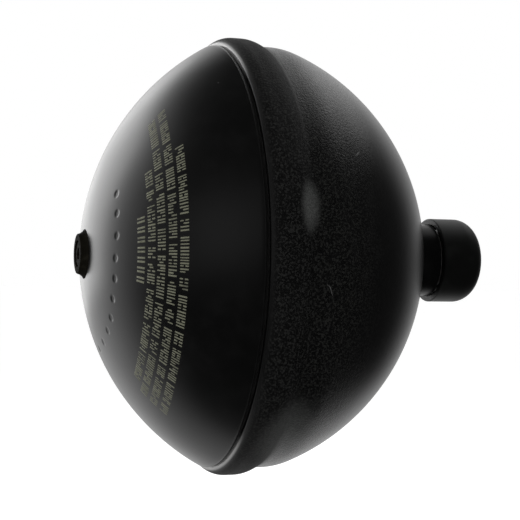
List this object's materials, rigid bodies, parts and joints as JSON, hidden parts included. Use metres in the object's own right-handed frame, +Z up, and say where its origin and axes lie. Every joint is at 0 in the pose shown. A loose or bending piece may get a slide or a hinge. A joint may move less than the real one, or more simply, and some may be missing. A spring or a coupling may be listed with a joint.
{
  "type": "hydraulic accumulator",
  "caption": "Welded diaphragm accumulator: a squat round pressure vessel with a belled rim, a fill plug at its left pole and a threaded port under a cap at its right.",
  "frame": {"origin": "on the axis, at the shoulder of the port neck where the outside thread starts", "axes": "+X along the object's axis and out of the hydraulic port, +Z up as in the picture"},
  "size_m": [0.1146, 0.118, 0.118],
  "materials": {
    "vessel_paint": "satin black paint",
    "neck_paint": "satin black paint, bare steel on the thread",
    "print_ink": "matt ink of the printed bars",
    "inner_steel": "turned steel",
    "screw_steel": "blackened steel",
    "spring_steel": "spring steel",
    "insert_brass": "turned brass",
    "diaphragm_rubber": "matt black rubber",
    "seal_rubber": "smooth black rubber",
    "cap_plastic": "matt black plastic"
  },
  "bodies": {
    "vessel": {"gas_shell": "vessel_paint", "fluid_shell": "vessel_paint", "rim_weld_bead": "vessel_paint", "port_weld_bead": "vessel_paint", "fill_boss": "vessel_paint", "port_fitting": "neck_paint", "diaphragm_retaining_ring": "inner_steel", "diaphragm": "diaphragm_rubber", "fill_screw": "screw_steel", "fill_screw_seal": "seal_rubber", "port_seal_ring": "seal_rubber", "restrictor_insert": "insert_brass", "restrictor_snap_ring": "spring_steel"},
    "diaphragm_centre": {"diaphragm_button": "inner_steel", "button_back_washer": "inner_steel"},
    "cap": {"thread_cap": "cap_plastic"}
  },
  "joints": [
    {"name": "cap_pull", "type": "slide", "parent": "vessel", "child": "cap", "axis": [1, 0, 0], "range_m": [0, 0.03]},
    {"name": "diaphragm_stroke", "type": "slide", "parent": "vessel", "child": "diaphragm_centre", "axis": [-1, 0, 0], "range_m": [0, 0.055], "stiffness_N_per_m": 150, "springref_m": -0.02, "deforming": ["diaphragm"]}
  ]
}
